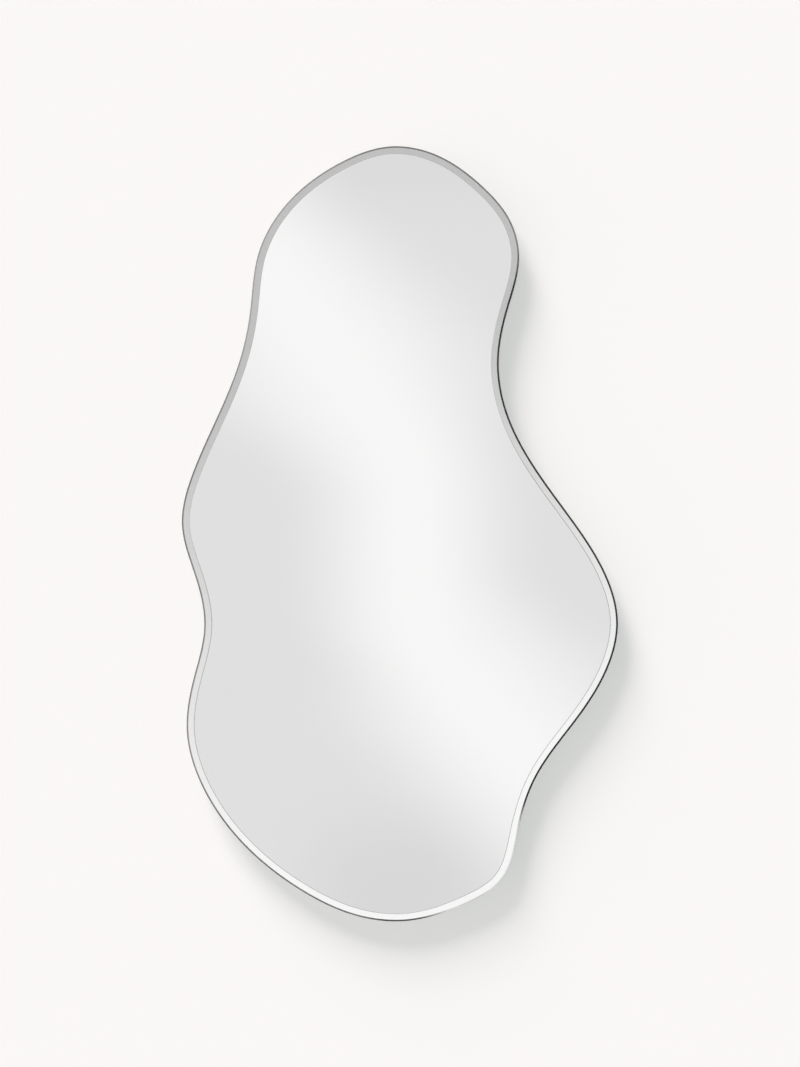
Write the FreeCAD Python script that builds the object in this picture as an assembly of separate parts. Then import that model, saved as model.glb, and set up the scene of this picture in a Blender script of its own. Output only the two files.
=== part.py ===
"""Frameless wall mirror with a free, pebble-like outline and a bevelled rim.

Millimetres, +Z up, the viewer looks along +Y. The wall lies in the plane y = 0, and the origin is
on it, behind the middle of the outline's width and height. Everything stands in front of the wall,
at negative y: rubber bumpers, backing board, bonding tape and adhesive, silver backing, glass.
"""
import FreeCAD, Part
import math
import os

from FreeCAD import Vector

os.makedirs("parts", exist_ok=True)

# ---------------------------------------------------------------- driving dimensions (mm)
mirror_width = 450.0
mirror_height = 800.0

# glass pane: a flat bevel runs round the front, and small arrises break the rim's two edges
glass_thickness = 4.0
bevel_width = 7.0
bevel_depth = 1.1
front_arris = 0.9
rear_arris = 0.4
backing_thickness = 0.1         # silver, copper and two coats of paint on the pane's back
backing_margin = 0.2            # bare glass between the silvering and the rear arris

# what bonds the pane to its board: three rows of upright tape strips, with adhesive between them
bond_gap = 1.0
tape_width = 19.0
tape_length = 120.0
tape_spacing = 70.0
bead_width = 12.0
bead_length = 100.0
bond_row_setback = 150.0        # from the mirror's top, or bottom, to the middle of an end row

# backing board
board_thickness = 12.0
board_setback = 18.0            # from the glass rim to the board's edge, all round
board_chamfer = 2.0

# strap hangers, one each side of the mirror's centre of gravity
hanger_spacing = 130.0
hanger_setback = 175.0          # from the mirror's top down to the rings' pivot line
strap_thickness = 1.0
strap_width = 12.0
strap_fold_length = 4.0         # where the folded strip closes below the ring's bar
strap_end_margin = 10.0         # from the lower screw to the strap's end
screw_gap = 0.2                 # from the fold's end to the upper screw's head
screw_pitch = 18.0

# hanging rings of bent wire, wide enough to pass round the strap and the upper screw's head
ring_wire_diameter = 2.8
ring_side_gap = 1.0             # from the strap's side to the ring's leg
ring_head_gap = 1.5             # from the upper screw's head to the ring's round end, folded down
ring_bar_overrun = 0.2          # straight bar past each side of the strap
ring_clearance = 0.05           # radial, between the bar and the fold

# pan-head screws
screw_head_diameter = 7.0
screw_head_height = 2.2
screw_shank_diameter = 3.4
screw_tip_length = 3.0
screw_tip_cover = 2.0           # board left in front of the screw's tip
recess_width = 1.0
recess_span = 4.2
recess_depth = 1.2
strap_hole_clearance = 0.2      # radial, round the shank
pilot_clearance = 0.05          # radial, round the shank
pilot_spare_depth = 0.5

# rubber bumpers that rest against the wall
bumper_height = 6.5
bumper_base_diameter = 16.0
bumper_face_diameter = 13.0
bumper_edge_radius = 1.0
bumper_margin = 4.0             # from the board's chamfer to a bumper's base
bumper_setback = 70.0           # from the mirror's top, or bottom, to the middle of a pair

# ---------------------------------------------------------------- depth of each layer (y)
wall_y = 0.0
board_rear_y = wall_y - bumper_height
board_front_y = board_rear_y - board_thickness
backing_rear_y = board_front_y - bond_gap
glass_rear_y = backing_rear_y - backing_thickness
glass_front_y = glass_rear_y - glass_thickness

# ---------------------------------------------------------------- hanger, worked out
# The strip turns round the ring's bar and leaves its bore at tangent_angle below the level, so that
# the two layers meet strap_fold_length under the bar. The upper layer lies flat from fold_end_drop.
fold_bore = ring_wire_diameter / 2 + ring_clearance
fold_outer = fold_bore + strap_thickness
pivot_y = board_rear_y + fold_outer
hanger_height = mirror_height / 2 - hanger_setback
tangent_angle = 2 * math.atan(fold_bore / strap_fold_length)
fold_reach = fold_outer + fold_outer * math.cos(tangent_angle) - 2 * strap_thickness
fold_end_drop = fold_outer * math.sin(tangent_angle) + fold_reach / math.tan(tangent_angle)
first_screw_drop = fold_end_drop + screw_gap + screw_head_diameter / 2
second_screw_drop = first_screw_drop + screw_pitch
strap_length = second_screw_drop + strap_end_margin
screw_length = board_thickness + 2 * strap_thickness - screw_tip_cover
ring_inner_width = strap_width + 2 * ring_side_gap
ring_corner_radius = ring_side_gap + ring_wire_diameter / 2 - ring_bar_overrun
ring_leg_height = first_screw_drop + screw_head_diameter / 2 + ring_head_gap - ring_inner_width / 2

# ---------------------------------------------------------------- outline
# Points (x, z) of the glass rim, clockwise from the crown as the viewer sees it. A smooth closed
# curve runs through them and is then sized to mirror_width by mirror_height.
RIM_POINTS = [
    (-10, 400), (36, 392), (86, 358), (113, 325), (123, 286),       # crown and right shoulder
    (112, 234), (102, 178), (110, 127), (134, 77), (179, 13),       # waist and right flank
    (213, -43), (225, -92), (215, -138), (182, -193), (140, -253),  # belly
    (122, -307), (105, -357), (68, -382), (8, -400), (-48, -394),   # lower right corner and foot
    (-100, -370), (-156, -327), (-200, -269), (-220, -203),         # lower left lobe
    (-213, -150), (-202, -97), (-210, -48), (-225, 10),             # dent and left bulge
    (-214, 62), (-187, 124), (-163, 187), (-154, 235),              # left flank
    (-147, 286), (-120, 337), (-60, 384),                           # left shoulder
]
RIM_SAMPLES = 70                # points that carry the outline when it is moved into the mirror
RIM_PATCHES = 7                 # the walls round the rim are made in this many equal patches
FINE_SAMPLES = 3600             # points for reading extents and widths off the outline


def line(start, end):
    """A straight edge."""
    return Part.LineSegment(start, end).toShape()


def arc(start, middle, end):
    """A round edge through three points."""
    return Part.Arc(start, middle, end).toShape()


def closed_curve(points, parameters=None):
    """A smooth closed curve through the points."""
    curve = Part.BSplineCurve()
    if parameters is None:
        curve.interpolate(Points=points, PeriodicFlag=True)
    else:
        curve.interpolate(Points=points, Parameters=parameters, PeriodicFlag=True)
    return curve


def even_parameters(curve, count):
    """count + 1 parameters, evenly spaced from one end of the closed curve to the other."""
    first, last = curve.FirstParameter, curve.LastParameter
    return [first + (last - first) * i / count for i in range(count + 1)]


def sized_rim():
    """The rim curve in the plane y = 0, stretched and centred to the mirror's width and height."""
    drawn = closed_curve([Vector(x, 0, z) for x, z in RIM_POINTS])
    places = [drawn.value(t) for t in even_parameters(drawn, FINE_SAMPLES)]
    low_x, high_x = min(p.x for p in places), max(p.x for p in places)
    low_z, high_z = min(p.z for p in places), max(p.z for p in places)
    stretch_x = mirror_width / (high_x - low_x)
    stretch_z = mirror_height / (high_z - low_z)
    middle_x, middle_z = (low_x + high_x) / 2, (low_z + high_z) / 2
    return closed_curve([
        Vector((x - middle_x) * stretch_x, 0, (z - middle_z) * stretch_z) for x, z in RIM_POINTS
    ])


RIM = sized_rim()
RIM_PARAMETERS = even_parameters(RIM, RIM_SAMPLES)


def inset_point(parameter, inset):
    """The rim's point at a parameter, moved square to the rim into the mirror."""
    along = RIM.tangent(parameter)[0]
    inward = Vector(along.z, 0, -along.x)
    return RIM.value(parameter) + inward * inset


def inset_wire(inset, y):
    """The outline moved into the mirror by inset, at depth y."""
    points = [inset_point(t, inset) for t in RIM_PARAMETERS[:-1]]
    curve = closed_curve(points, RIM_PARAMETERS)
    curve.translate(Vector(0, y, 0))
    seams = RIM_PARAMETERS[::RIM_SAMPLES // RIM_PATCHES]
    return Part.Wire([curve.toShape(start, end) for start, end in zip(seams, seams[1:])])


def outline_solid(*levels):
    """A solid through the outline at several (inset, y) levels, with straight walls between them."""
    return Part.makeLoft([inset_wire(inset, y) for inset, y in levels], True, True)


def edge_x(side, inset, z):
    """x of the inset outline at height z, on the left (side -1) or on the right (side 1)."""
    points = [inset_point(t, inset) for t in even_parameters(RIM, FINE_SAMPLES)]
    crossings = [
        a.x + (b.x - a.x) * (z - a.z) / (b.z - a.z)
        for a, b in zip(points, points[1:])
        if (a.z - z) * (b.z - z) < 0
    ]
    return max(crossings) if side > 0 else min(crossings)


def middle_x(z):
    """x of the middle of the outline's width at height z."""
    return (edge_x(-1, board_setback, z) + edge_x(1, board_setback, z)) / 2


def rounded_bar(length, width, thickness, middle, y):
    """An upright bar with round ends, its rear face at y + thickness, around middle = (x, z)."""
    half_run, radius = length / 2 - width / 2, width / 2
    x, z = middle
    left, right = x - radius, x + radius
    top, bottom = z + half_run, z - half_run
    outline = Part.Wire([
        line(Vector(left, y, bottom), Vector(left, y, top)),
        arc(Vector(left, y, top), Vector(x, y, top + radius), Vector(right, y, top)),
        line(Vector(right, y, top), Vector(right, y, bottom)),
        arc(Vector(right, y, bottom), Vector(x, y, bottom - radius), Vector(left, y, bottom)),
    ])
    return Part.Face(outline).extrude(Vector(0, thickness, 0))


# ---------------------------------------------------------------- glass and its silvering
def mirror_glass():
    """The pane: rear arris, upright rim, front arris, bevel and flat face."""
    bevel_inset = front_arris + bevel_width
    return outline_solid(
        (rear_arris, glass_rear_y),
        (0, glass_rear_y - rear_arris),
        (0, glass_front_y + bevel_depth + front_arris),
        (front_arris, glass_front_y + bevel_depth),
        (bevel_inset, glass_front_y),
    )


def silver_backing():
    """The thin silvered and painted coat on the pane's rear face."""
    inset = rear_arris + backing_margin
    return outline_solid((inset, backing_rear_y), (inset, glass_rear_y))


# ---------------------------------------------------------------- bond between pane and board
def bond_rows():
    """The middles (x, z) of the three rows of tape and adhesive."""
    end_row = mirror_height / 2 - bond_row_setback
    return [(middle_x(z), z) for z in (end_row, 0, -end_row)]


def bonding_tape():
    """Upright strips of foam tape, three in each row."""
    strips = []
    for x, z in bond_rows():
        for place in (-1, 0, 1):
            corner = Vector(
                x + place * tape_spacing - tape_width / 2, board_front_y - bond_gap, z - tape_length / 2
            )
            strips.append(Part.makeBox(tape_width, bond_gap, tape_length, corner))
    return Part.makeCompound(strips)


def adhesive_beads():
    """Beads of mirror adhesive, pressed flat between the strips of tape."""
    beads = []
    for x, z in bond_rows():
        for place in (-0.5, 0.5):
            middle = (x + place * tape_spacing, z)
            beads.append(
                rounded_bar(bead_length, bead_width, bond_gap, middle, board_front_y - bond_gap)
            )
    return Part.makeCompound(beads)


# ---------------------------------------------------------------- backing board
def backing_board(screw_places):
    """The board, chamfered round its rear face, with a blind pilot hole for each screw."""
    board = outline_solid(
        (board_setback, board_front_y),
        (board_setback, board_rear_y - board_chamfer),
        (board_setback + board_chamfer, board_rear_y),
    )
    radius = screw_shank_diameter / 2 + pilot_clearance
    depth = screw_length - 2 * strap_thickness + pilot_spare_depth
    for x, z in screw_places:
        hole = Part.makeCylinder(radius, depth, Vector(x, board_rear_y, z), Vector(0, -1, 0))
        board = board.cut(hole)
    return board


# ---------------------------------------------------------------- strap hangers
def strap_profile(x):
    """The folded strip seen from its side, at x: two flat layers, closed round the ring's bar.

    The bore round the bar and the strip's inner faces meet in a drop shape. Its lower point lies
    strap_fold_length below the bar, and the second layer leaves the bore at tangent_angle.
    """
    def place(radius, angle):
        """A point round the pivot; angle 0 points at the wall and 90 degrees points up."""
        return Vector(
            x, pivot_y + radius * math.cos(angle), hanger_height + radius * math.sin(angle)
        )

    def flat(layers, drop):
        """A point on the face of so many layers of strip, at a distance below the pivot."""
        return Vector(x, board_rear_y + layers * strap_thickness, hanger_height - drop)

    outer_leave = place(fold_outer, -tangent_angle)
    outside = Part.Wire([
        line(flat(0, strap_length), flat(0, 0)),
        arc(flat(0, 0), place(fold_outer, math.pi / 2), outer_leave),
        line(outer_leave, flat(2, fold_end_drop)),
        line(flat(2, fold_end_drop), flat(2, strap_length)),
        line(flat(2, strap_length), flat(0, strap_length)),
    ])
    inner_leave = place(fold_bore, -tangent_angle)
    inside = Part.Wire([
        arc(flat(1, 0), place(fold_bore, math.pi / 2), inner_leave),
        line(inner_leave, flat(1, strap_fold_length)),
        line(flat(1, strap_fold_length), flat(1, 0)),
    ])
    return Part.Face(outside).cut(Part.Face(inside)).Faces[0]


def hanger_strap(x):
    """A folded steel strip with a rounded lower end and two screw holes."""
    strip = strap_profile(x - strap_width / 2).extrude(Vector(strap_width, 0, 0))
    reach = 2 * strap_length
    middle = (x, hanger_height - strap_length + reach / 2)
    strap = strip.common(rounded_bar(reach, strap_width, bumper_height, middle, board_rear_y))
    radius = screw_shank_diameter / 2 + strap_hole_clearance
    for drop in (first_screw_drop, second_screw_drop):
        start = Vector(x, board_rear_y, hanger_height - drop)
        hole = Part.makeCylinder(radius, 2 * strap_thickness, start, Vector(0, 1, 0))
        strap = strap.cut(hole)
    return strap


def hanger_ring(x):
    """A D-shaped ring of wire, standing up, with its straight bar in the strap's fold."""
    half = (ring_inner_width + ring_wire_diameter) / 2
    bar = half - ring_corner_radius
    slope = ring_corner_radius * math.sin(math.pi / 4)

    def place(across, up):
        """A point in the ring's own plane, from the middle of its bar."""
        return Vector(x + across, pivot_y, hanger_height + up)

    def corner(side):
        """The quarter bend between the bar and a leg."""
        bend = place(side * (bar + slope), ring_corner_radius - slope)
        return arc(place(side * bar, 0), bend, place(side * half, ring_corner_radius))

    path = Part.Wire([
        line(place(-bar, 0), place(bar, 0)),
        corner(1),
        line(place(half, ring_corner_radius), place(half, ring_leg_height)),
        arc(
            place(half, ring_leg_height),
            place(0, ring_leg_height + half),
            place(-half, ring_leg_height),
        ),
        line(place(-half, ring_leg_height), place(-half, ring_corner_radius)),
        corner(-1),
    ])
    section = Part.makeCircle(ring_wire_diameter / 2, place(-bar, 0), Vector(1, 0, 0))
    return path.makePipeShell([Part.Wire(section)], True, False)


def pan_head_screw(x, z):
    """A screw driven into the board: domed head, cross recess, plain shank and pointed tip."""
    seat_y = board_rear_y + 2 * strap_thickness
    head, shank = screw_head_diameter / 2, screw_shank_diameter / 2
    rim = screw_head_height / 2
    slope = math.sin(math.pi / 4)

    def place(radius, y):
        """A point of the screw's half section, y measured from under its head."""
        return Vector(x + radius, seat_y + y, z)

    profile = Part.Wire([
        line(place(0, -screw_length), place(shank, screw_tip_length - screw_length)),
        line(place(shank, screw_tip_length - screw_length), place(shank, 0)),
        line(place(shank, 0), place(head, 0)),
        line(place(head, 0), place(head, rim)),
        arc(place(head, rim), place(head * slope, rim + rim * slope), place(0, screw_head_height)),
        line(place(0, screw_head_height), place(0, -screw_length)),
    ])
    screw = Part.Face(profile).revolve(Vector(x, 0, z), Vector(0, 1, 0), 360)
    floor_y = seat_y + screw_head_height - recess_depth
    for across, tall in ((recess_span, recess_width), (recess_width, recess_span)):
        corner = Vector(x - across / 2, floor_y, z - tall / 2)
        screw = screw.cut(Part.makeBox(across, screw_head_height, tall, corner))
    return screw


# ---------------------------------------------------------------- bumpers
def wall_bumper(side, z):
    """A tapered rubber bumper on the board's rear face, its rounded end against the wall."""
    base, face = bumper_base_diameter / 2, bumper_face_diameter / 2
    x = edge_x(side, board_setback + board_chamfer + bumper_margin + base, z)
    cone = Part.makeCone(base, face, bumper_height, Vector(x, board_rear_y, z), Vector(0, 1, 0))
    end = [e for e in cone.Edges if e.BoundBox.YMin > wall_y - bumper_height / 2]
    return cone.makeFillet(bumper_edge_radius, end)


# ---------------------------------------------------------------- assembly
PANE = mirror_glass()
BALANCE_X = PANE.CenterOfMass.x
SIDES = {"left": -1, "right": 1}
HANGER_X = {name: BALANCE_X + side * hanger_spacing / 2 for name, side in SIDES.items()}
SCREW_Z = [hanger_height - drop for drop in (first_screw_drop, second_screw_drop)]

nodes = {
    "mirror_glass": PANE,
    "silver_backing": silver_backing(),
    "bonding_tape": bonding_tape(),
    "adhesive_beads": adhesive_beads(),
    "backing_board": backing_board([(x, z) for x in HANGER_X.values() for z in SCREW_Z]),
}
for name, x in HANGER_X.items():
    nodes["hanger_strap_" + name] = hanger_strap(x)
    nodes["hanger_ring_" + name] = hanger_ring(x)
    nodes["hanger_screws_" + name] = Part.makeCompound([pan_head_screw(x, z) for z in SCREW_Z])
bumper_row = mirror_height / 2 - bumper_setback
for name, side in SIDES.items():
    nodes["bumper_top_" + name] = wall_bumper(side, bumper_row)
    nodes["bumper_bottom_" + name] = wall_bumper(side, -bumper_row)

for name, shape in nodes.items():
    shape.exportStep("parts/" + name + ".step")
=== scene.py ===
import math

import bmesh
import bpy
import numpy as np
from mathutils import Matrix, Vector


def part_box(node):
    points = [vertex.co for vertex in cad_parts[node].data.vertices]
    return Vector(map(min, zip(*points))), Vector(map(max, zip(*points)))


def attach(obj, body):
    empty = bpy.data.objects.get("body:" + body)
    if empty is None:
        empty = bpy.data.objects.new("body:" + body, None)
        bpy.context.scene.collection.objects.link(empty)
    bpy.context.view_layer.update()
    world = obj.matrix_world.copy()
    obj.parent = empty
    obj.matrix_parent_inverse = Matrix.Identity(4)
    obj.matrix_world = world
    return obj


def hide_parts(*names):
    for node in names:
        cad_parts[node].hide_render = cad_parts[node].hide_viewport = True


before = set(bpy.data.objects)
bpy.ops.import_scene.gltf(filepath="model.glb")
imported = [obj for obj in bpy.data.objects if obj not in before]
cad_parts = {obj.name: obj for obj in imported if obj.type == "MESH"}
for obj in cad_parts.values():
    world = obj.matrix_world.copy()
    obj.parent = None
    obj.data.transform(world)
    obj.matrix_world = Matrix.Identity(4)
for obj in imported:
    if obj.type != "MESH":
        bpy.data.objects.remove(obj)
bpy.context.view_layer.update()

# ---------------------------------------------------------------- sizes (metres)
WIDTH, HEIGHT = 0.450, 0.800
BEVEL_WIDTH, BEVEL_DEPTH = 0.0070, 0.0011
FRONT_ARRIS, REAR_ARRIS = 0.0009, 0.0004
COAT_INSET = 0.0006             # bare glass left round the silvering
COAT_BAND = 0.0120              # how far in from the rim the silver's tone can follow the inset
COAT_LAP = 0.00002              # the silver's face lies this far inside the pane, so they touch
BOARD_SETBACK, BOARD_CHAMFER = 0.0180, 0.0020
BOND_ROW = 0.250                # height of the end rows of tape above and below the middle
TAPE_SPACING = 0.070
TAPE_WIDTH, TAPE_LENGTH = 0.019, 0.120
BEAD_WIDTH, BEAD_LENGTH = 0.012, 0.100
STRAP_THICKNESS, STRAP_WIDTH = 0.0010, 0.0120
STRAP_LENGTH = 0.0360625        # from the rings' pivot line down to the strap's rounded end
FOLD_BORE = 0.00145             # radius of the fold's inside, round the ring's bar
FOLD_CLOSE = 0.0040             # where the folded strip closes below the bar
ELBOW_RADIUS = 0.0010           # where the slanting strip turns down, flat on the rear layer
STRIP_EDGE_RADIUS = 0.00014
LAYER_GAP = 0.000002            # between the strap's two layers
TIP_TURN = 0.02                 # radians of the strap's rounded end left out at its tip
STRAP_HOLE_RADIUS = 0.0019
SCREW_DROPS = (0.0080625, 0.0260625)
SCREW_LENGTH, SCREW_TIP = 0.0120, 0.0030
SCREW_PITCH, SCREW_CORE_RADIUS, SCREW_CREST_RADIUS = 0.00125, 0.00122, 0.0017
SCREW_HEAD_RADIUS, SCREW_HEAD_HEIGHT, SCREW_RIM_HEIGHT = 0.0035, 0.0022, 0.0009
PILOT_RADIUS, PILOT_DEPTH = 0.00175, 0.0105
WIRE_RADIUS = 0.0014
RING_CORNER = 0.0022
RING_HALF_OPENING = 0.0070
RING_LEG = 0.0060625
BUMPER_BASE_RADIUS, BUMPER_FACE_RADIUS = 0.0080, 0.0065
BUMPER_HEIGHT, BUMPER_EDGE, BUMPER_DIMPLE = 0.0065, 0.0010, 0.0003
CAMERA_DISTANCE = 7.0           # from the pane's front
VIEW_WIDTH = 0.8254             # what the picture's width spans at the pane's front

WALL_Y = 0.0006                 # a hair behind the bumpers' faces
WALL_TOP, FLOOR_Z = 4.0, -1.2
STAGE_REACH, FLOOR_FRONT = 6.0, -9.0

BODY = "mirror"
SIDES = ("left", "right")
CREASE = math.radians(30)       # faces that meet at more than this show an edge

# The glass rim, clockwise from the crown as the viewer sees it (x, z in millimetres, then sized).
RIM_POINTS = np.array([
    (-10, 400), (36, 392), (86, 358), (113, 325), (123, 286),
    (112, 234), (102, 178), (110, 127), (134, 77), (179, 13),
    (213, -43), (225, -92), (215, -138), (182, -193), (140, -253),
    (122, -307), (105, -357), (68, -382), (8, -400), (-48, -394),
    (-100, -370), (-156, -327), (-200, -269), (-220, -203),
    (-213, -150), (-202, -97), (-210, -48), (-225, 10),
    (-214, 62), (-187, 124), (-163, 187), (-154, 235),
    (-147, 286), (-120, 337), (-60, 384),
], float)


# ---------------------------------------------------------------- outlines
def closed_spline(points, count):
    """A closed curve through the points: a cubic in each span, whose slope and bend carry on from
    one span to the next. Each span's parameter runs as far as its two points are apart."""
    n = len(points)
    ahead = np.roll(points, -1, 0)
    span = np.hypot(*(ahead - points).T)
    before = np.roll(span, 1)
    slope = (ahead - points) / span[:, None]
    row = np.arange(n)
    system = np.zeros((n, n))
    system[row, row - 1] = before
    system[row, row] = 2 * (before + span)
    system[row, (row + 1) % n] = span
    bend = np.linalg.solve(system, 6 * (slope - np.roll(slope, 1, 0)))
    starts = np.concatenate([[0], np.cumsum(span)])
    place = np.linspace(0, starts[-1], count, endpoint=False)
    k = np.searchsorted(starts, place, side="right") - 1
    b = (place - starts[k])[:, None]
    h = span[k][:, None]
    a = h - b
    j = (k + 1) % n
    return (
        (bend[k] * a ** 3 + bend[j] * b ** 3) / (6 * h)
        + (points[k] / h - bend[k] * h / 6) * a
        + (points[j] / h - bend[j] * h / 6) * b
    )


def halves(loop, rungs):
    """Splits a dense clockwise loop at its highest and lowest point, and puts rungs + 1 points on
    each half, evenly along its length. Returns places and inward normals, right half first."""
    loop = np.roll(loop, -loop[:, 1].argmax(), 0)
    along = np.roll(loop, -1, 0) - np.roll(loop, 1, 0)
    inward = np.stack([along[:, 1], -along[:, 0]], 1)
    table = np.concatenate([loop, inward / np.hypot(*inward.T)[:, None]], 1)
    foot = loop[:, 1].argmin()
    out = []
    for half in (table[:foot + 1], np.roll(table, -1, 0)[::-1][:len(table) - foot + 1]):
        run = np.concatenate([[0], np.cumsum(np.hypot(*np.diff(half[:, :2], axis=0).T))])
        even = np.linspace(0, run[-1], rungs + 1)
        out.append(np.stack([np.interp(even, run, column) for column in half.T], 1))
    out = np.array(out)
    return out[..., :2], out[..., 2:] / np.linalg.norm(out[..., 2:], axis=-1, keepdims=True)


def pane_halves(rungs):
    """The mirror's outline, stretched and centred to WIDTH by HEIGHT, in two halves."""
    loop = closed_spline(RIM_POINTS, 14000)
    low, high = loop.min(0), loop.max(0)
    return halves((loop - (low + high) / 2) * (WIDTH, HEIGHT) / (high - low), rungs)


def blob_halves(width, length, middle, squareness, rungs):
    """A superellipse round middle, |x / a|^n + |z / b|^n = 1 with squareness for n, in halves."""
    turn = np.linspace(0, -2 * np.pi, 4000, endpoint=False)
    power = 2 / squareness
    x = np.sign(np.cos(turn)) * np.abs(np.cos(turn)) ** power * width / 2
    z = np.sign(np.sin(turn)) * np.abs(np.sin(turn)) ** power * length / 2
    return halves(np.stack([x, z], 1) + middle, rungs)


# ---------------------------------------------------------------- surfaces
def stack(outline, levels, columns=12):
    """A closed solid round an outline. Its wall is the outline moved inwards by inset, at depth y,
    for each (inset, y) level. Its two ends are ladders, whose rungs join the right half to the
    left. Returns vertices, faces and each vertex's inset."""
    place, inward = outline
    rungs = place.shape[1] - 1
    ring = 2 * rungs
    verts, insets = [], []
    for inset, y in levels:
        right, left = place + inward * inset
        loop = np.concatenate([right, left[-2:0:-1]])
        verts.append(np.insert(loop, 1, y, axis=1))
        insets.append(np.full(ring, inset))
    here = np.arange(ring)
    after = (here + 1) % ring
    faces = []
    for level in range(len(levels) - 1):
        base, above = level * ring, (level + 1) * ring
        faces += np.stack([base + here, base + after, above + after, above + here], 1).tolist()
    rows = np.arange(1, rungs)
    share = np.arange(1, columns) / columns
    total = len(levels) * ring
    for level in (0, len(levels) - 1):
        loop = verts[level]
        right, left = loop[rows], loop[ring - rows]
        inner = left[:, None] + (right - left)[:, None] * share[None, :, None]
        verts.append(inner.reshape(-1, 3))
        insets.append(np.full(inner.shape[0] * inner.shape[1], levels[level][0]))
        grid = np.empty((rungs - 1, columns + 1), int)
        grid[:, 0] = level * ring + ring - rows
        grid[:, -1] = level * ring + rows
        grid[:, 1:-1] = total + np.arange(inner.shape[0] * inner.shape[1]).reshape(inner.shape[:2])
        total += inner.shape[0] * inner.shape[1]
        quads = np.stack([grid[:-1, :-1], grid[:-1, 1:], grid[1:, 1:], grid[1:, :-1]], -1)
        faces += quads.reshape(-1, 4).tolist()
        for tip, row in ((level * ring, grid[0]), (level * ring + rungs, grid[-1])):
            faces += np.stack([np.full(columns, tip), row[:-1], row[1:]], 1).tolist()
    return np.concatenate(verts), faces, np.concatenate(insets)


def lathe(radius, height, centre, turns):
    """A closed turned form round an axis along y: the point (radius cos t, height, radius sin t).
    The first and last rows are poles. radius may be a row of numbers or a grid of rows by turns."""
    turn = np.arange(turns) * 2 * np.pi / turns
    r = np.broadcast_to(np.reshape(radius, (len(height), -1)), (len(height), turns))
    x, y, z = centre
    body = np.stack([
        x + r * np.cos(turn), np.broadcast_to(y + height[:, None], r.shape), z + r * np.sin(turn),
    ], -1)[1:-1].reshape(-1, 3)
    rows = len(height) - 2
    here = np.arange(turns)
    after = (here + 1) % turns
    faces = []
    for row in range(rows - 1):
        low, high = row * turns, (row + 1) * turns
        faces += np.stack([low + here, low + after, high + after, high + here], 1).tolist()
    poles = [(x, y + height[0], z), (x, y + height[-1], z)]
    start, end = rows * turns, rows * turns + 1
    last = (rows - 1) * turns
    faces += np.stack([np.full(turns, start), after, here], 1).tolist()
    faces += np.stack([np.full(turns, end), last + here, last + after], 1).tolist()
    return np.concatenate([body, poles]), faces


def wire_loop(path, radius, sides=28):
    """A round wire along a closed flat path in the plane of x and z: the points
    path + radius (cos t n + sin t y), where n is square to the path in its plane."""
    along = np.roll(path, -1, 0) - np.roll(path, 1, 0)
    square = np.stack([along[:, 2], 0 * along[:, 0], -along[:, 0]], 1)
    square /= np.linalg.norm(square, axis=1, keepdims=True)
    turn = np.arange(sides) * 2 * np.pi / sides
    verts = (
        path[:, None]
        + radius * np.cos(turn)[None, :, None] * square[:, None]
        + radius * np.sin(turn)[None, :, None] * np.array([0, 1, 0])
    )
    here = np.arange(len(path))[:, None] * sides
    ahead = np.roll(here, -1, 0)
    a = np.arange(sides)[None]
    b = (a + 1) % sides
    faces = np.stack([here + a, here + b, ahead + b, ahead + a], -1).reshape(-1, 4)
    return verts.reshape(-1, 3), faces.tolist()


def joined(parts):
    """Several (vertices, faces) put into one."""
    verts, faces, start = [], [], 0
    for part in parts:
        verts.append(part[0])
        faces += [[start + index for index in face] for face in part[1]]
        start += len(part[0])
    return np.concatenate(verts), faces


# ---------------------------------------------------------------- pieces
def linked(name, data):
    """An object that holds the data, put into the scene."""
    made = bpy.data.objects.new(name, data)
    bpy.context.scene.collection.objects.link(made)
    return made


def shaded(mesh, sharp=CREASE):
    """Shades the mesh smooth, except where its faces meet at more than sharp."""
    mesh.polygons.foreach_set("use_smooth", np.ones(len(mesh.polygons), bool))
    mesh.set_sharp_from_angle(angle=sharp)


def mesh_object(name, verts, faces, attributes=(), sharp=CREASE):
    """A shaded object at the origin, with its faces outward."""
    mesh = bpy.data.meshes.new(name)
    mesh.from_pydata(np.asarray(verts).tolist(), [], faces)
    for key, values in attributes:
        mesh.attributes.new(key, "FLOAT", "POINT").data.foreach_set("value", values)
    made = bmesh.new()
    made.from_mesh(mesh)
    bmesh.ops.recalc_face_normals(made, faces=made.faces)
    made.to_mesh(mesh)
    made.free()
    shaded(mesh, sharp)
    return linked(name, mesh)


def applied(piece):
    """Puts the result of the piece's modifiers into its mesh."""
    seen = piece.evaluated_get(bpy.context.evaluated_depsgraph_get())
    mesh = bpy.data.meshes.new_from_object(seen)
    piece.modifiers.clear()
    piece.data = mesh


def carved(piece, verts, faces):
    """Cuts a closed form out of the piece."""
    cutter = mesh_object("cutter", verts, faces)
    cut = piece.modifiers.new("cut", "BOOLEAN")
    cut.operation, cut.solver, cut.object = "DIFFERENCE", "EXACT", cutter
    applied(piece)
    bpy.data.objects.remove(cutter)
    shaded(piece.data)


def placed(piece, node, slot, body, *finishes):
    """Gives the piece its finishes and its body, and hides the node that it stands for; slot is not
    used.
    """
    for finish in finishes:
        piece.data.materials.append(finish)
    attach(piece, body)
    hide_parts(node)


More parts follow.
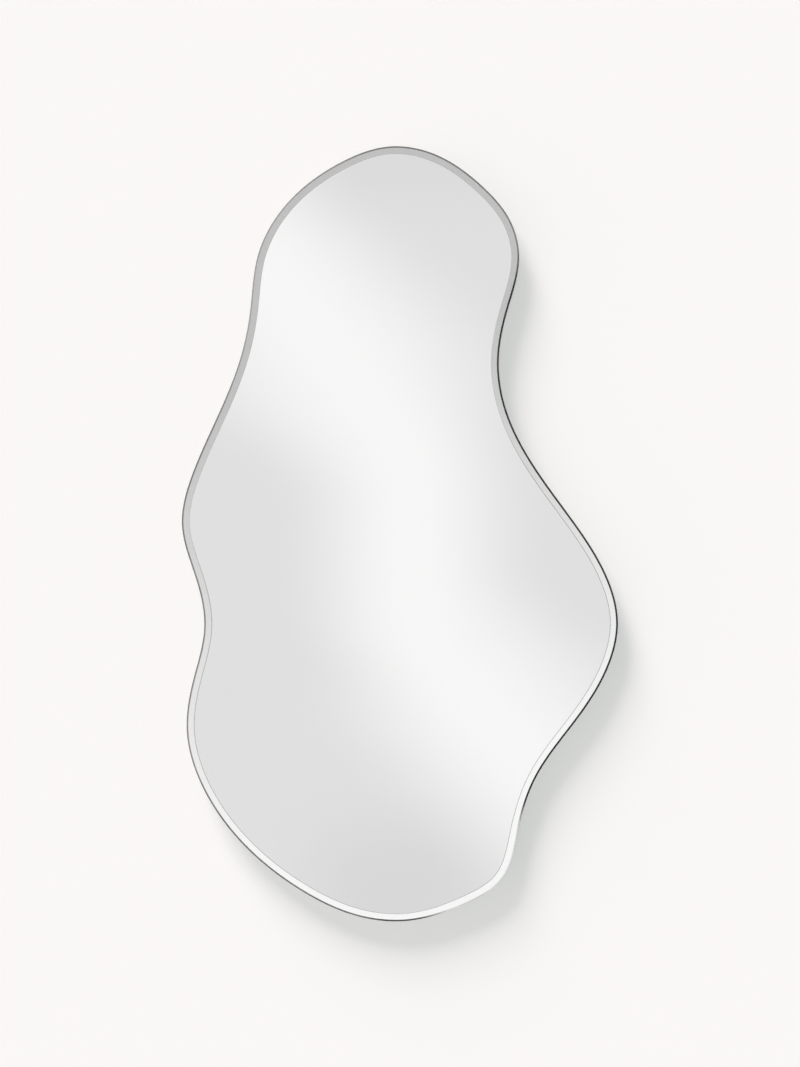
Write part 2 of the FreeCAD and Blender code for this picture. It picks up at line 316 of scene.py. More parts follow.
# ---------------------------------------------------------------- nodes
class Value:
    """A socket of a node tree. Sums and products with it are Math nodes."""

    def __init__(self, tree, socket):
        self.tree, self.socket = tree, socket

    def math(self, operation, *others):
        node = self.tree.nodes.new("ShaderNodeMath")
        node.operation = operation
        for slot, value in zip(node.inputs, (self,) + others):
            if isinstance(value, Value):
                self.tree.links.new(value.socket, slot)
            else:
                slot.default_value = value
        return Value(self.tree, node.outputs[0])

    def __add__(self, other):
        return self.math("ADD", other)

    def __sub__(self, other):
        return self.math("SUBTRACT", other)

    def __mul__(self, other):
        return self.math("MULTIPLY", other)

    def __truediv__(self, other):
        return self.math("DIVIDE", other)

    def step(self, low, high, start=0.0, end=1.0):
        """Eases from start at low to end at high."""
        node = self.tree.nodes.new("ShaderNodeMapRange")
        node.interpolation_type = "SMOOTHSTEP"
        self.tree.links.new(self.socket, node.inputs["Value"])
        ends = {"From Min": low, "From Max": high, "To Min": start, "To Max": end}
        for key, value in ends.items():
            if isinstance(value, Value):
                self.tree.links.new(value.socket, node.inputs[key])
            else:
                node.inputs[key].default_value = value
        return Value(self.tree, node.outputs["Result"])

    def between(self, start, end):
        """start where this is 0, end where it is 1."""
        node = self.tree.nodes.new("ShaderNodeMix")
        for slot, value in zip(node.inputs[:1] + node.inputs[2:4], (self, start, end)):
            if isinstance(value, Value):
                self.tree.links.new(value.socket, slot)
            else:
                slot.default_value = value
        return Value(self.tree, node.outputs[0])

    def past(self, start, ease):
        """How far this has gone past start; it sets off gently, over about ease either side."""
        over = self - start
        return (over + (over * over + ease * ease).math("SQRT")) * 0.5


def add(tree, kind, links=(), **settings):
    """A node of a kind, with inputs set or linked by name, and settings such as its mode."""
    node = tree.nodes.new(kind)
    for key, value in settings.items():
        setattr(node, key, value)
    for key, value in dict(links).items():
        socket = node.inputs[key]
        if isinstance(value, Value):
            tree.links.new(value.socket, socket)
        elif isinstance(value, bpy.types.NodeSocket):
            tree.links.new(value, socket)
        else:
            socket.default_value = value
    return node


def finish(name):
    """A new material: its node tree and its Principled shader."""
    material = bpy.data.materials.new(name)
    material.use_nodes = True
    tree = material.node_tree
    return material, tree, tree.nodes["Principled BSDF"]


def object_place(tree):
    """Object coordinates, and their x, y and z."""
    place = tree.nodes.new("ShaderNodeTexCoord").outputs["Object"]
    parts = add(tree, "ShaderNodeSeparateXYZ", {"Vector": place})
    return place, *(Value(tree, socket) for socket in parts.outputs)


def noise(tree, place, scale, detail=4.0, stretch=(1, 1, 1), roughness=0.55):
    """Clouds in the range 0 to 1, with scale clouds to the metre, stretched along the axes."""
    turned = add(tree, "ShaderNodeMapping", {"Vector": place, "Scale": stretch})
    node = add(tree, "ShaderNodeTexNoise", {
        "Vector": turned.outputs[0], "Scale": scale, "Detail": detail, "Roughness": roughness,
    })
    return Value(tree, node.outputs["Fac"])


def ramp(tree, value, *stops):
    """A colour for each value; stops are (value, colour) with colours as (r, g, b)."""
    node = add(tree, "ShaderNodeValToRGB", {"Fac": value})
    marks = node.color_ramp.elements
    while len(marks) < len(stops):
        marks.new(0.5)
    for mark, (at, colour) in zip(marks, stops):
        mark.position = at
        mark.color = (*colour, 1)
    return node.outputs["Color"]


def attribute(tree, name):
    """A number kept on the mesh's vertices."""
    return Value(tree, add(tree, "ShaderNodeAttribute", attribute_name=name).outputs["Fac"])


def bump(tree, shader, height, depth):
    """Raises the surface by height times depth, in metres."""
    node = add(tree, "ShaderNodeBump", {"Height": height, "Distance": depth, "Strength": 1.0})
    tree.links.new(node.outputs["Normal"], shader.inputs["Normal"])


# ---------------------------------------------------------------- finishes
def clear_glass():
    """Float glass: polished face and bevel, finely ground rim and arrises, green in its depth."""
    material, tree, shader = finish("float glass")
    shader.inputs["Transmission Weight"].default_value = 1.0
    shader.inputs["IOR"].default_value = 1.52
    place, *_ = object_place(tree)
    inset = attribute(tree, "inset")
    ground = inset.step(0.0006, 0.0011, 1.0, 0.0)
    grain = noise(tree, place, 900, 3)
    roughness = ground * (grain * 0.05 + 0.02)
    tree.links.new(roughness.socket, shader.inputs["Roughness"])
    colour = ramp(tree, grain * ground, (0.0, (1, 1, 1)), (0.7, (0.93, 0.97, 0.95)))
    tree.links.new(colour, shader.inputs["Base Color"])
    body = add(tree, "ShaderNodeVolumeAbsorption", {"Color": (0.45, 0.86, 0.68, 1), "Density": 9.0})
    output = tree.nodes["Material Output"]
    tree.links.new(body.outputs[0], output.inputs["Volume"])
    return material


def silver():
    """The silvering seen through the glass, with reflections painted into its colour.

    Under the bevel it shows a painted reflection, a grey that lightens down and to the right. A
    thin darker painted line follows the bevel's inner ridge on the lower part, and a dark painted
    one follows the rim. The rim's is darkest down the right side and at the foot, faint at the
    upper left and gone at the lower right corner.
    """
    material, tree, shader = finish("silver")
    shader.inputs["Metallic"].default_value = 1.0
    shader.inputs["Roughness"].default_value = 0.0
    place, x, _, z = object_place(tree)
    inset = attribute(tree, "inset")
    slant = z - x * 0.36

    def patch(at_x, at_z, core, fade):
        """1 within core of a point of the pane, 0 beyond fade."""
        away = ((x - at_x) * (x - at_x) + (z - at_z) * (z - at_z)).math("SQRT")
        return away.step(core, fade, 1.0, 0.0)

    # Painted reflection: under the bevel the silver's colour runs from a darker grey up and to the
    # left to a lighter grey down and to the right.
    bevel = (slant + 0.275) / 0.475
    bevel = bevel.math("MAXIMUM", 0.0).math("MINIMUM", 1.0).between(0.925, 0.512)
    tone = inset.step(0.0081, 0.0079).between(0.97, bevel)

    # Painted shade: a thin darker line along the bevel's inner ridge, on the lower part only, in
    # place of the ridge's reflection.
    ridge = inset.step(0.0074, 0.0077) * inset.step(0.0083, 0.0080)
    ridge *= slant.step(0.0, 0.10, 1.0, 0.0)
    tone = tone * (ridge * -0.36 + 1)

    # Painted reflection: a dark line along the rim, darkest down the right side and at the foot,
    # faint at the upper left, and left out at the lower right corner, where the rim would catch
    # bright light.
    right_side = x.step(0.02, 0.11) * z.step(0.255, 0.300, 1.0, 0.0)
    painted_rim_reflection = right_side.between(z.step(-0.30, -0.22, 0.20, 0.36), 0.0)
    painted_rim_reflection = patch(-0.145, 0.270, 0.07, 0.20).between(painted_rim_reflection, 0.78)
    painted_rim_reflection = patch(0.0, -0.400, 0.015, 0.04).between(painted_rim_reflection, 0.05)
    painted_rim_reflection = patch(0.085, -0.345, 0.045, 0.085).between(painted_rim_reflection, 0.95)
    line = inset.step(right_side.between(0.0020, 0.0023), right_side.between(0.0015, 0.0018))
    tone = line.between(tone, tone * painted_rim_reflection)

    cloud = noise(tree, place, 14, 2)
    tone = tone * (cloud * 0.004 + 0.998)
    colour = add(tree, "ShaderNodeCombineColor", {
        "Red": tone * 1.024, "Green": tone * 0.995, "Blue": tone * 1.005,
    })
    tree.links.new(colour.outputs[0], shader.inputs["Base Color"])
    return material


def safety_paint():
    """Two rolled coats of blue-grey paint over the silvering."""
    material, tree, shader = finish("mirror back paint")
    place, *_ = object_place(tree)
    roll = noise(tree, place, 520, 3, (1, 1, 0.4))
    speck = noise(tree, place, 60, 5)
    colour = ramp(tree, speck, (0.3, (0.19, 0.215, 0.235)), (0.7, (0.235, 0.262, 0.283)))
    tree.links.new(colour, shader.inputs["Base Color"])
    tree.links.new((roll * 0.18 + 0.36).socket, shader.inputs["Roughness"])
    bump(tree, shader, roll, 0.00006)
    return material


def dyed_board():
    """Black fibreboard: short matted fibres, dusty lighter flecks, rougher cut edges."""
    material, tree, shader = finish("black fibreboard")
    place, *_ = object_place(tree)
    fibre = noise(tree, place, 700, 6, (1, 3, 0.5), 0.7)
    cross = noise(tree, place, 640, 6, (0.5, 3, 1), 0.7)
    grain = noise(tree, place, 1100, 5, (1, 1, 1), 0.75)
    mat = fibre * cross + grain * 0.5
    cloud = noise(tree, place, 9, 4)
    fleck = mat * 0.75 + cloud * 0.3
    colour = ramp(
        tree, fleck,
        (0.41, (0.012, 0.012, 0.013)), (0.54, (0.032, 0.031, 0.030)), (0.68, (0.085, 0.080, 0.074)),
    )
    tree.links.new(colour, shader.inputs["Base Color"])
    tree.links.new((mat * 0.25 + 0.55).socket, shader.inputs["Roughness"])
    bump(tree, shader, mat, 0.00012)
    return material


def zinc(name, colour_low, colour_high, rough, scratch):
    """Zinc-plated steel: spangled tone, fine drawn lines along z, handling marks."""
    material, tree, shader = finish(name)
    shader.inputs["Metallic"].default_value = 1.0
    place, *_ = object_place(tree)
    lines = noise(tree, place, 2600, 3, (1, 1, 0.04))
    spangle = noise(tree, place, 420, 4)
    smear = noise(tree, place, 90, 5, (1, 1, 0.5), 0.7)
    colour = ramp(tree, spangle * 0.6 + smear * 0.4, (0.35, colour_low), (0.62, colour_high))
    tree.links.new(colour, shader.inputs["Base Color"])
    tree.links.new((smear * 0.22 + lines * 0.1 + rough).socket, shader.inputs["Roughness"])
    bump(tree, shader, lines * 0.7 + spangle * 0.3, scratch)
    return material


def rubber():
    """Matt moulded rubber with fine dust in its grain."""
    material, tree, shader = finish("moulded rubber")
    place, *_ = object_place(tree)
    grain = noise(tree, place, 1800, 4)
    dust = noise(tree, place, 260, 5, (1, 1, 1), 0.75)
    colour = ramp(tree, dust, (0.35, (0.014, 0.014, 0.015)), (0.75, (0.045, 0.043, 0.041)))
    tree.links.new(colour, shader.inputs["Base Color"])
    tree.links.new((dust * 0.2 + 0.6).socket, shader.inputs["Roughness"])
    bump(tree, shader, grain, 0.00005)
    return material


def foam():
    """White closed-cell foam, its cut sides full of small cells."""
    material, tree, shader = finish("foam tape")
    place, *_ = object_place(tree)
    cells = add(tree, "ShaderNodeTexVoronoi", {"Vector": place, "Scale": 3200.0})
    cell = Value(tree, cells.outputs["Distance"])
    cloud = noise(tree, place, 160, 3)
    colour = ramp(tree, cloud, (0.3, (0.66, 0.65, 0.61)), (0.7, (0.78, 0.77, 0.73)))
    tree.links.new(colour, shader.inputs["Base Color"])
    tree.links.new((cell * 0.2 + 0.7).socket, shader.inputs["Roughness"])
    bump(tree, shader, cell, 0.0001)
    return material


def mirror_glue():
    """Cured mirror adhesive: pale, satin, a little uneven."""
    material, tree, shader = finish("mirror adhesive")
    place, *_ = object_place(tree)
    swirl = noise(tree, place, 130, 4, (1, 1, 0.4))
    colour = ramp(tree, swirl, (0.3, (0.56, 0.53, 0.45)), (0.7, (0.66, 0.63, 0.55)))
    tree.links.new(colour, shader.inputs["Base Color"])
    tree.links.new((swirl * 0.2 + 0.35).socket, shader.inputs["Roughness"])
    bump(tree, shader, swirl, 0.0003)
    return material


# ---------------------------------------------------------------- pane, silvering and board
RIM = pane_halves(680)
glass_low, glass_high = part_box("mirror_glass")
board_low, board_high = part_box("backing_board")
front_y, rear_y = glass_low[1], glass_high[1]
board_front_y, board_rear_y = board_low[1], board_high[1]

verts, faces, insets = stack(RIM, [
    (REAR_ARRIS, rear_y),
    (0, rear_y - REAR_ARRIS),
    (0, front_y + BEVEL_DEPTH + FRONT_ARRIS),
    (FRONT_ARRIS, front_y + BEVEL_DEPTH),
    (FRONT_ARRIS + BEVEL_WIDTH, front_y),
])
pane = mesh_object("glass_pane", verts, faces, [("inset", insets)], math.radians(5))
placed(pane, "mirror_glass", "glass", BODY, clear_glass())

coat_rear_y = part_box("silver_backing")[1][1]
verts, faces, insets = stack(RIM, [
    (COAT_BAND, rear_y - COAT_LAP),
    (COAT_INSET, rear_y - COAT_LAP),
    (COAT_INSET, coat_rear_y),
])
coat = mesh_object("silvered_coat", verts, faces, [("inset", insets)])
placed(coat, "silver_backing", "silver", BODY, silver(), safety_paint())
facing = np.empty(len(coat.data.polygons) * 3)
coat.data.polygons.foreach_get("normal", facing)
coat.data.polygons.foreach_set("material_index", (facing[1::3] > -0.5).astype(np.int32))

# Matt surfaces aren't lit by what the pane and its paint throw back, so no glow lies on the wall at
# the rim.
for piece in (pane, coat):
    piece.visible_diffuse = False

verts, faces, _ = stack(RIM, [
    (BOARD_SETBACK + 0.0002, board_front_y),
    (BOARD_SETBACK, board_front_y + 0.0002),
    (BOARD_SETBACK, board_rear_y - BOARD_CHAMFER - 0.0003),
    (BOARD_SETBACK + 0.0001, board_rear_y - BOARD_CHAMFER + 0.0001),
    (BOARD_SETBACK + BOARD_CHAMFER - 0.0001, board_rear_y - 0.0001),
    (BOARD_SETBACK + BOARD_CHAMFER + 0.0003, board_rear_y),
])
board = mesh_object("board", verts, faces)

# ---------------------------------------------------------------- bond
middles = []
for height in (BOND_ROW, 0.0, -BOND_ROW):
    edge = RIM[0] + RIM[1] * BOARD_SETBACK
    middles.append((sum(np.interp(-height, -side[:, 1], side[:, 0]) for side in edge) / 2, height))
bond_low, bond_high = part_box("bonding_tape")
bond_front, bond_rear = bond_low[1], bond_high[1]
bond_middle = (bond_front + bond_rear) / 2

strips = []
for x, z in middles:
    for place in (-1, 0, 1):
        outline = blob_halves(TAPE_WIDTH, TAPE_LENGTH, (x + place * TAPE_SPACING, z), 24, 60)
        strips.append(stack(outline, [
            (0.0001, bond_front), (0, bond_front + 0.0001), (0.00022, bond_middle),
            (0, bond_rear - 0.0001), (0.0001, bond_rear),
        ], 4)[:2])
tape = mesh_object("tape_strips", *joined(strips))
placed(tape, "bonding_tape", "foam_tape", BODY, foam())

dabs = []
for x, z in middles:
    for place in (-0.5, 0.5):
        outline = blob_halves(BEAD_WIDTH, BEAD_LENGTH, (x + place * TAPE_SPACING, z), 3.2, 80)
        dabs.append(stack(outline, [
            (0.0009, bond_front), (0.0002, bond_front + 0.00025), (0, bond_middle),
            (0.0002, bond_rear - 0.00025), (0.0009, bond_rear),
        ], 6)[:2])
beads = mesh_object("adhesive_dabs", *joined(dabs))
placed(beads, "adhesive_beads", "adhesive", BODY, mirror_glue())


# ---------------------------------------------------------------- hangers
def ring_path(x, y, z):
    """The D ring's middle line, from the bar's left end: bar, bend, leg, round end, leg, bend."""
    half = RING_HALF_OPENING + WIRE_RADIUS
    bar = half - RING_CORNER
    bend = np.linspace(-np.pi / 2, 0, 12)
    arch = np.linspace(0, np.pi, 60)
    across = np.linspace(-bar, bar, 24)[:-1]
    rise = np.linspace(RING_CORNER, RING_LEG, 9)[1:-1]
    right = np.stack([np.cos(bend), np.sin(bend)], 1) * RING_CORNER + (bar, RING_CORNER)
    path = np.concatenate([
        np.stack([across, 0 * across], 1),
        right,
        np.stack([0 * rise + half, rise], 1),
        np.stack([half * np.cos(arch), RING_LEG + half * np.sin(arch)], 1),
        np.stack([0 * rise - half, rise[::-1]], 1),
        (right * (-1, 1))[::-1][:-1],
    ])
    return np.insert(path, 1, 0, axis=1) + (x, y, z)


def folded_strap(x, pivot_y, pivot_z):
    """A flat strip along a folded path: up behind, round the bar, slanting back in, down in front.

    Its section is a rounded rectangle of two half_width by a thickness. half_width follows a half
    circle over the last STRAP_WIDTH / 2 of the path at either end.
    """
    half, radius = STRAP_WIDTH / 2, FOLD_BORE + STRAP_THICKNESS / 2
    lean = 2 * math.atan(FOLD_BORE / FOLD_CLOSE)
    rear, front = -radius, -radius + STRAP_THICKNESS
    end = -STRAP_LENGTH
    round_end = end + half * (1 - np.cos(np.linspace(TIP_TURN, np.pi / 2, 22)))
    turn = np.linspace(np.pi, -lean, 56)
    fold = radius * np.stack([np.cos(turn), np.sin(turn)], 1)
    slant = np.array([math.sin(lean), math.cos(lean)])
    meet = fold[-1] - slant * (fold[-1, 0] - front) / math.sin(lean)
    bend = np.linspace(lean, 0, 12)
    corner_z = meet[1] - ELBOW_RADIUS * math.tan(lean / 2)
    elbow = ELBOW_RADIUS * np.stack([1 - np.cos(bend), np.sin(bend)], 1) + (front, corner_z)
    climb = np.linspace(round_end[-1], 0, 12)[1:-1]
    drop = np.linspace(corner_z, round_end[-1], 12)[1:-1]
    path = np.concatenate([
        np.stack([0 * round_end + rear, round_end], 1),
        np.stack([0 * climb + rear, climb], 1),
        fold,
        elbow,
        np.stack([0 * drop + front, drop], 1),
        np.stack([0 * round_end + front, round_end[::-1]], 1),
    ])
    along = np.gradient(path, axis=0)
    along /= np.hypot(*along.T)[:, None]
    run = np.concatenate([[0], np.cumsum(np.hypot(*np.diff(path, axis=0).T))])
    left = np.minimum(run, run[-1] - run) + half * (1 - math.cos(TIP_TURN))
    half_width = half * np.sqrt(np.clip(1 - np.clip(1 - left / half, 0, 1) ** 2, 0, 1))
    edge = np.minimum(STRIP_EDGE_RADIUS, half_width)[:, None]
    thick = (STRAP_THICKNESS - LAYER_GAP) / 2
    corner = np.concatenate([np.linspace(0, np.pi / 2, 4) + k * np.pi / 2 for k in range(4)])
    sign_u, sign_v = np.repeat([1, -1, -1, 1], 4), np.repeat([1, 1, -1, -1], 4)
    u = sign_u * (half_width[:, None] - edge) + edge * np.cos(corner)
    v = sign_v * (thick - edge) + edge * np.sin(corner)
    verts = np.stack([
        x + u, pivot_y + path[:, :1] + v * along[:, 1:], pivot_z + path[:, 1:] - v * along[:, :1],
    ], -1).reshape(-1, 3)
    count = len(corner)
    here = np.arange(len(path) - 1)[:, None] * count
    ahead = here + count
    a = np.arange(count)[None]
    b = (a + 1) % count
    faces = np.stack([here + a, here + b, ahead + b, ahead + a], -1).reshape(-1, 4).tolist()
    return verts, faces + [list(range(count)), list(range(len(verts) - count, len(verts)))]


def screw(x, seat, z):
    """A pan-head screw: a turned core whose radius gains a triangular ridge that climbs one pitch a
    turn, a flat-seated head with a rolled edge and a domed top."""
    turns = 48
    shank = np.linspace(-SCREW_LENGTH, -0.0004, 150)
    taper = np.clip((shank + SCREW_LENGTH) / SCREW_TIP, 0.02, 1)
    saw = np.abs(((shank[:, None] / SCREW_PITCH - np.arange(turns) / turns) % 1) - 0.5) * 2
    fade = np.clip((-0.0009 - shank) / 0.0006, 0, 1)       # the thread runs out under the head
    crest = np.clip((saw - 0.35) / 0.65, 0, 1) * (SCREW_CREST_RADIUS - SCREW_CORE_RADIUS)
    thread = SCREW_CORE_RADIUS * taper[:, None] ** 0.8 + crest * (taper * fade)[:, None]
    lean = np.linspace(0, np.pi / 2, 16)[1:]
    head_r = np.concatenate([
        [0.00155],
        SCREW_HEAD_RADIUS - np.array([0.0001, 0.00002, 0, 0]),
        SCREW_HEAD_RADIUS * np.cos(lean),
    ])
    head_y = np.concatenate([
        [0, 0, 0.00003, 0.0001, SCREW_RIM_HEIGHT],
        SCREW_RIM_HEIGHT + (SCREW_HEAD_HEIGHT - SCREW_RIM_HEIGHT) * np.sin(lean),
    ])
    radius = np.concatenate([np.zeros((1, turns)), thread, np.outer(head_r, np.ones(turns))])
    radius[-1] = 0
    return lathe(radius, np.concatenate([[-SCREW_LENGTH], shank, head_y]), (x, seat, z), turns)


def cross_cutter(x, top, z):
    """The cross recess: a plus sign, 4.2 mm over its arms at the top and narrower at its floor."""
    quarter_turn = np.array([[0, -1], [1, 0]])
    verts = []
    for y, reach, half in ((top + 0.0004, 0.0023, 0.00058), (top - 0.0013, 0.0012, 0.00034)):
        corner = np.array([(half, reach), (half, half), (reach, half)])
        turned = [corner @ np.linalg.matrix_power(quarter_turn, k) for k in range(4)]
        loop = np.concatenate(turned)
        verts.append(np.insert(loop, 1, y, axis=1) + (x, 0, z))
    ring = np.arange(12)
    faces = np.stack([ring, (ring + 1) % 12, (ring + 1) % 12 + 12, ring + 12], 1).tolist()
    faces += [ring.tolist(), (ring + 12).tolist()]
    return np.concatenate(verts), faces


strip_zinc = zinc("zinc-plated strip", (0.46, 0.47, 0.48), (0.63, 0.64, 0.65), 0.22, 0.00002)
wire_zinc = zinc("zinc-plated wire", (0.56, 0.56, 0.57), (0.72, 0.72, 0.72), 0.14, 0.00001)
screw_zinc = zinc("zinc-plated screw", (0.50, 0.50, 0.48), (0.68, 0.68, 0.65), 0.18, 0.00001)

pilots = []
for side in SIDES:
    low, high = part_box("hanger_ring_" + side)
    x, y, z = (low[0] + high[0]) / 2, (low[1] + high[1]) / 2, low[2] + WIRE_RADIUS
    ring = mesh_object("ring_" + side, *wire_loop(ring_path(x, y, z), WIRE_RADIUS))
    placed(ring, "hanger_ring_" + side, "ring_wire", "ring_" + side, wire_zinc)

    strap = mesh_object("strap_" + side, *folded_strap(x, y, z))
    seat = board_rear_y + 2 * STRAP_THICKNESS
    depth = np.array([0.0005, 0.0005, -0.003, -0.003])
    radius = np.array([0, STRAP_HOLE_RADIUS, STRAP_HOLE_RADIUS, 0])
    carved(strap, *joined([lathe(radius, depth, (x, seat, z - drop), 40) for drop in SCREW_DROPS]))
    placed(strap, "hanger_strap_" + side, "zinc_strip", BODY, strip_zinc)

    made = []
    for drop in SCREW_DROPS:
        one = mesh_object("screw", *screw(x, seat, z - drop))
        carved(one, *cross_cutter(x, seat + SCREW_HEAD_HEIGHT, z - drop))
        made.append(one)
        depth = np.array([-PILOT_DEPTH, -PILOT_DEPTH, 0.001, 0.001])
        radius = np.array([0, PILOT_RADIUS, PILOT_RADIUS, 0])
        pilots.append(lathe(radius, depth, (x, board_rear_y, z - drop), 32))
    pair = bmesh.new()
    for one in made:
        pair.from_mesh(one.data)
        bpy.data.objects.remove(one)
    mesh = bpy.data.meshes.new("screws_" + side)
    pair.to_mesh(mesh)
    pair.free()
    shaded(mesh)
    screws = linked("screws_" + side, mesh)
    placed(screws, "hanger_screws_" + side, "screw_steel", BODY, screw_zinc)

carved(board, *joined(pilots))
placed(board, "backing_board", "black_board", BODY, dyed_board())

# ---------------------------------------------------------------- bumpers
moulded = rubber()
edge = np.linspace(0, np.pi / 2, 10)
for end in ("top", "bottom"):
    for side in SIDES:
        node = "bumper_" + end + "_" + side
        low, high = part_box(node)
        x, z = (low[0] + high[0]) / 2, (low[2] + high[2]) / 2
        radius = np.concatenate([
            [0, 0.0045],
            BUMPER_BASE_RADIUS - np.array([0.0003, 0.00008, 0, 0.00014]),
            BUMPER_FACE_RADIUS - 0.0009 + 0.00094 * np.cos(edge) + 0.00012 * (1 - edge),
            [0.0040, 0.0022, 0.0018, 0],
        ])
        height = np.concatenate([
            [0, 0, 0, 0.00004, 0.0002, 0.0009],
            BUMPER_HEIGHT - BUMPER_EDGE + BUMPER_EDGE * np.sin(edge),
            BUMPER_HEIGHT - np.array([0, 0, BUMPER_DIMPLE, BUMPER_DIMPLE]),
        ])
        form = lathe(radius, height, (x, low[1], z), 64)
        bumper = mesh_object("rubber_" + end + "_" + side, *form)
        placed(bumper, node, "rubber", BODY, moulded)

# ---------------------------------------------------------------- wall, floor and backdrop
WALL_TONE = (0.954, 0.942, 0.925)
FLOOR_TONE = (0.743, 0.764, 0.748)     # lit more steeply, it comes out like the wall
KEY_COLOUR = (1.0, 0.913, 0.916)
FILL_COLOUR = (0.950, 1.0, 0.998)


def stage_plane(name, corners, tone):
    """A flat sheet that shows only from its front, and only to the camera."""
    mesh = bpy.data.meshes.new(name)
    mesh.from_pydata(corners, [], [(0, 1, 2, 3)])
    sheet = linked(name, mesh)
    material = bpy.data.materials.new(name)
    material.use_nodes = True
    tree = material.node_tree
    tree.nodes.clear()
    matt = add(tree, "ShaderNodeBsdfDiffuse", {"Color": (*tone, 1)})
    gone = add(tree, "ShaderNodeBsdfTransparent")
    back = add(tree, "ShaderNodeNewGeometry").outputs["Backfacing"]
    choice = tree.nodes.new("ShaderNodeMixShader")
    tree.links.new(back, choice.inputs[0])
    tree.links.new(matt.outputs[0], choice.inputs[1])
    tree.links.new(gone.outputs[0], choice.inputs[2])
    output = tree.nodes.new("ShaderNodeOutputMaterial")
    tree.links.new(choice.outputs[0], output.inputs[0])
    mesh.materials.append(material)
    for reach in ("diffuse", "glossy", "transmission", "volume_scatter", "shadow"):
        setattr(sheet, "visible_" + reach, False)


wall_foot = [(-STAGE_REACH, WALL_Y, FLOOR_Z), (STAGE_REACH, WALL_Y, FLOOR_Z)]
wall_head = [(STAGE_REACH, WALL_Y, WALL_TOP), (-STAGE_REACH, WALL_Y, WALL_TOP)]
floor_front = [(-STAGE_REACH, FLOOR_FRONT, FLOOR_Z), (STAGE_REACH, FLOOR_FRONT, FLOOR_Z)]
stage_plane("wall", wall_foot + wall_head, WALL_TONE)
stage_plane("floor", floor_front + wall_foot[::-1], FLOOR_TONE)

# ---------------------------------------------------------------- world
world = bpy.data.worlds.new("studio")
bpy.context.scene.world = world
world.use_nodes = True
tree = world.node_tree
tree.nodes.clear()
way = tree.nodes.new("ShaderNodeTexCoord").outputs["Generated"]
parts = add(tree, "ShaderNodeSeparateXYZ", {"Vector": way})
dx, dy, dz = (Value(tree, socket) for socket in parts.outputs)

# Where the pane's flat face shows this direction to a viewer who stands CAMERA_DISTANCE in front.
forward = (dy * -1).math("MAXIMUM", 0.02)
px = dx / forward * CAMERA_DISTANCE
pz = dz / forward * CAMERA_DISTANCE

# A long soft light crosses the view: upright in the middle, aslant above and below.
ease = 0.03
middle = pz.past(0.085, ease) * -0.80 + (pz * -1).past(0.112, ease) * 0.95 + 0.012
reach_left = pz.step(0.03, 0.15, 0.150, 0.250) + pz.step(-0.21, -0.12, 0.060, 0.0)
reach_right = (
    pz.step(0.07, 0.21, 0.150, 0.242) + pz.step(0.22, 0.36, 0.0, -0.055)
    + pz.step(-0.15, -0.03, 0.110, 0.0)
)
off = px - middle
reach = off.step(-0.001, 0.001).between(reach_left, reach_right)
glow = ((off / reach).math("ABSOLUTE").math("MINIMUM", 1.0) * math.pi).math("COSINE") * 0.5 + 0.5
plain = pz.step(0.30, 0.39, 0.0, -0.035)
hollow = pz.step(-0.36, -0.25, -0.062, 0.0) * px.math("ABSOLUTE").step(0.02, 0.15, 1.0, 0.0)
face = glow * 0.194 + plain + hollow + 0.780

# Round it stands a white surround, and beyond that the pale room, crossed by soft slanting bands of
# light. The room is darker near the floor, and behind the mirror dim screens stand between lamps.
bearing = dx.math("ARCTAN2", dy)
wave = ((bearing * 0.8 + dz * 0.55) * (2 * math.pi / 0.075)).math("SINE")
screens = (bearing * 3.0 + dz * 2.0 + 0.6).math("SINE").step(-0.3, 0.9)
surround = (px * px + pz * pz).math("SQRT").step(0.47, 0.70)
height_tone = dz.step(-0.75, 0.10, 0.52, 0.80)
room = (dy * -1).step(0.975, 0.88)
ahead = surround.between(face, room.between(1.03, height_tone + wave * 0.11))
behind = dz.step(-0.7, 0.8, 0.36, 1.0) * (screens * -0.55 + 1)
shown = dy.step(-0.05, 0.05).between(ahead, behind)

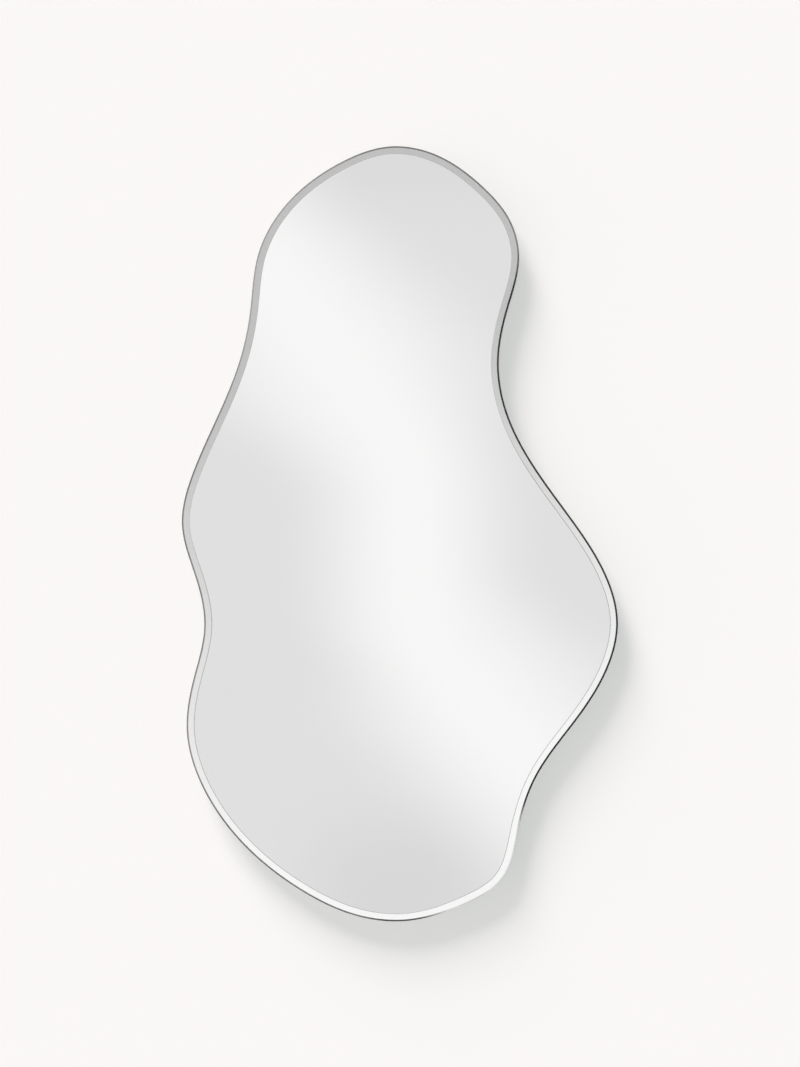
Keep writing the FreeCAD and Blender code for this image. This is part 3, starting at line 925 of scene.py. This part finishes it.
# The camera sees the wall's tone, mirrors and glass the room, and matt surfaces a low even light.
AMBIENT = 0.08
path = tree.nodes.new("ShaderNodeLightPath")
camera_ray = Value(tree, path.outputs["Is Camera Ray"])
glossy_ray = Value(tree, path.outputs["Is Glossy Ray"])
mirrored = glossy_ray + Value(tree, path.outputs["Is Transmission Ray"])
level = mirrored.math("MINIMUM", 1.0).between(AMBIENT, shown)
light = add(tree, "ShaderNodeBackground", {"Color": (1, 1, 1, 1), "Strength": level})
sky = add(tree, "ShaderNodeBackground", {"Color": (*WALL_TONE, 1), "Strength": 1.0})
pick = add(tree, "ShaderNodeMixShader", {
    0: camera_ray, 1: light.outputs[0], 2: sky.outputs[0],
})
output = tree.nodes.new("ShaderNodeOutputWorld")
tree.links.new(pick.outputs[0], output.inputs[0])


# ---------------------------------------------------------------- lamps and camera
def soft_sun(name, towards, share, spread, colour=(1, 1, 1), in_metal=False):
    """A lamp far away, in the direction towards, whose length doesn't count. share is what a white
    sheet square to y sends back. Only a lamp that is in_metal shows as a highlight."""
    lamp = bpy.data.lights.new(name, "SUN")
    x, y, z = np.array(towards, float) / np.linalg.norm(towards)
    lamp.energy = share * math.pi / abs(y)
    lamp.angle = math.radians(spread)
    lamp.color = colour
    sun = linked(name, lamp)
    sun.rotation_euler = (math.acos(z), 0, math.atan2(y, x) + math.pi / 2)
    sun.visible_glossy = in_metal
    sun.visible_transmission = False


soft_sun("front fill", (0, -1, 0), 0.542, 5, FILL_COLOUR)
soft_sun("upper left key", (-20, -21.5, 40), 0.252, 27, KEY_COLOUR)
soft_sun("high left key", (-40, -21.5, 90), 0.043, 16, KEY_COLOUR)
soft_sun("left fill", (-50, -21.5, -10), 0.115, 62, KEY_COLOUR)
soft_sun("rear light", (0.5, 1.0, 0.9), 0.62, 30, in_metal=True)

camera = bpy.data.cameras.new("camera")
camera.sensor_fit = "HORIZONTAL"
camera.sensor_width = 36
camera.lens = 36 * CAMERA_DISTANCE / VIEW_WIDTH
camera.clip_end = 100
view = linked("camera", camera)
view.location = (0.0001, front_y - CAMERA_DISTANCE, 0.0003)
view.rotation_euler = (math.pi / 2, 0, 0)
bpy.context.scene.camera = view
bpy.context.scene.view_settings.view_transform = "Standard"
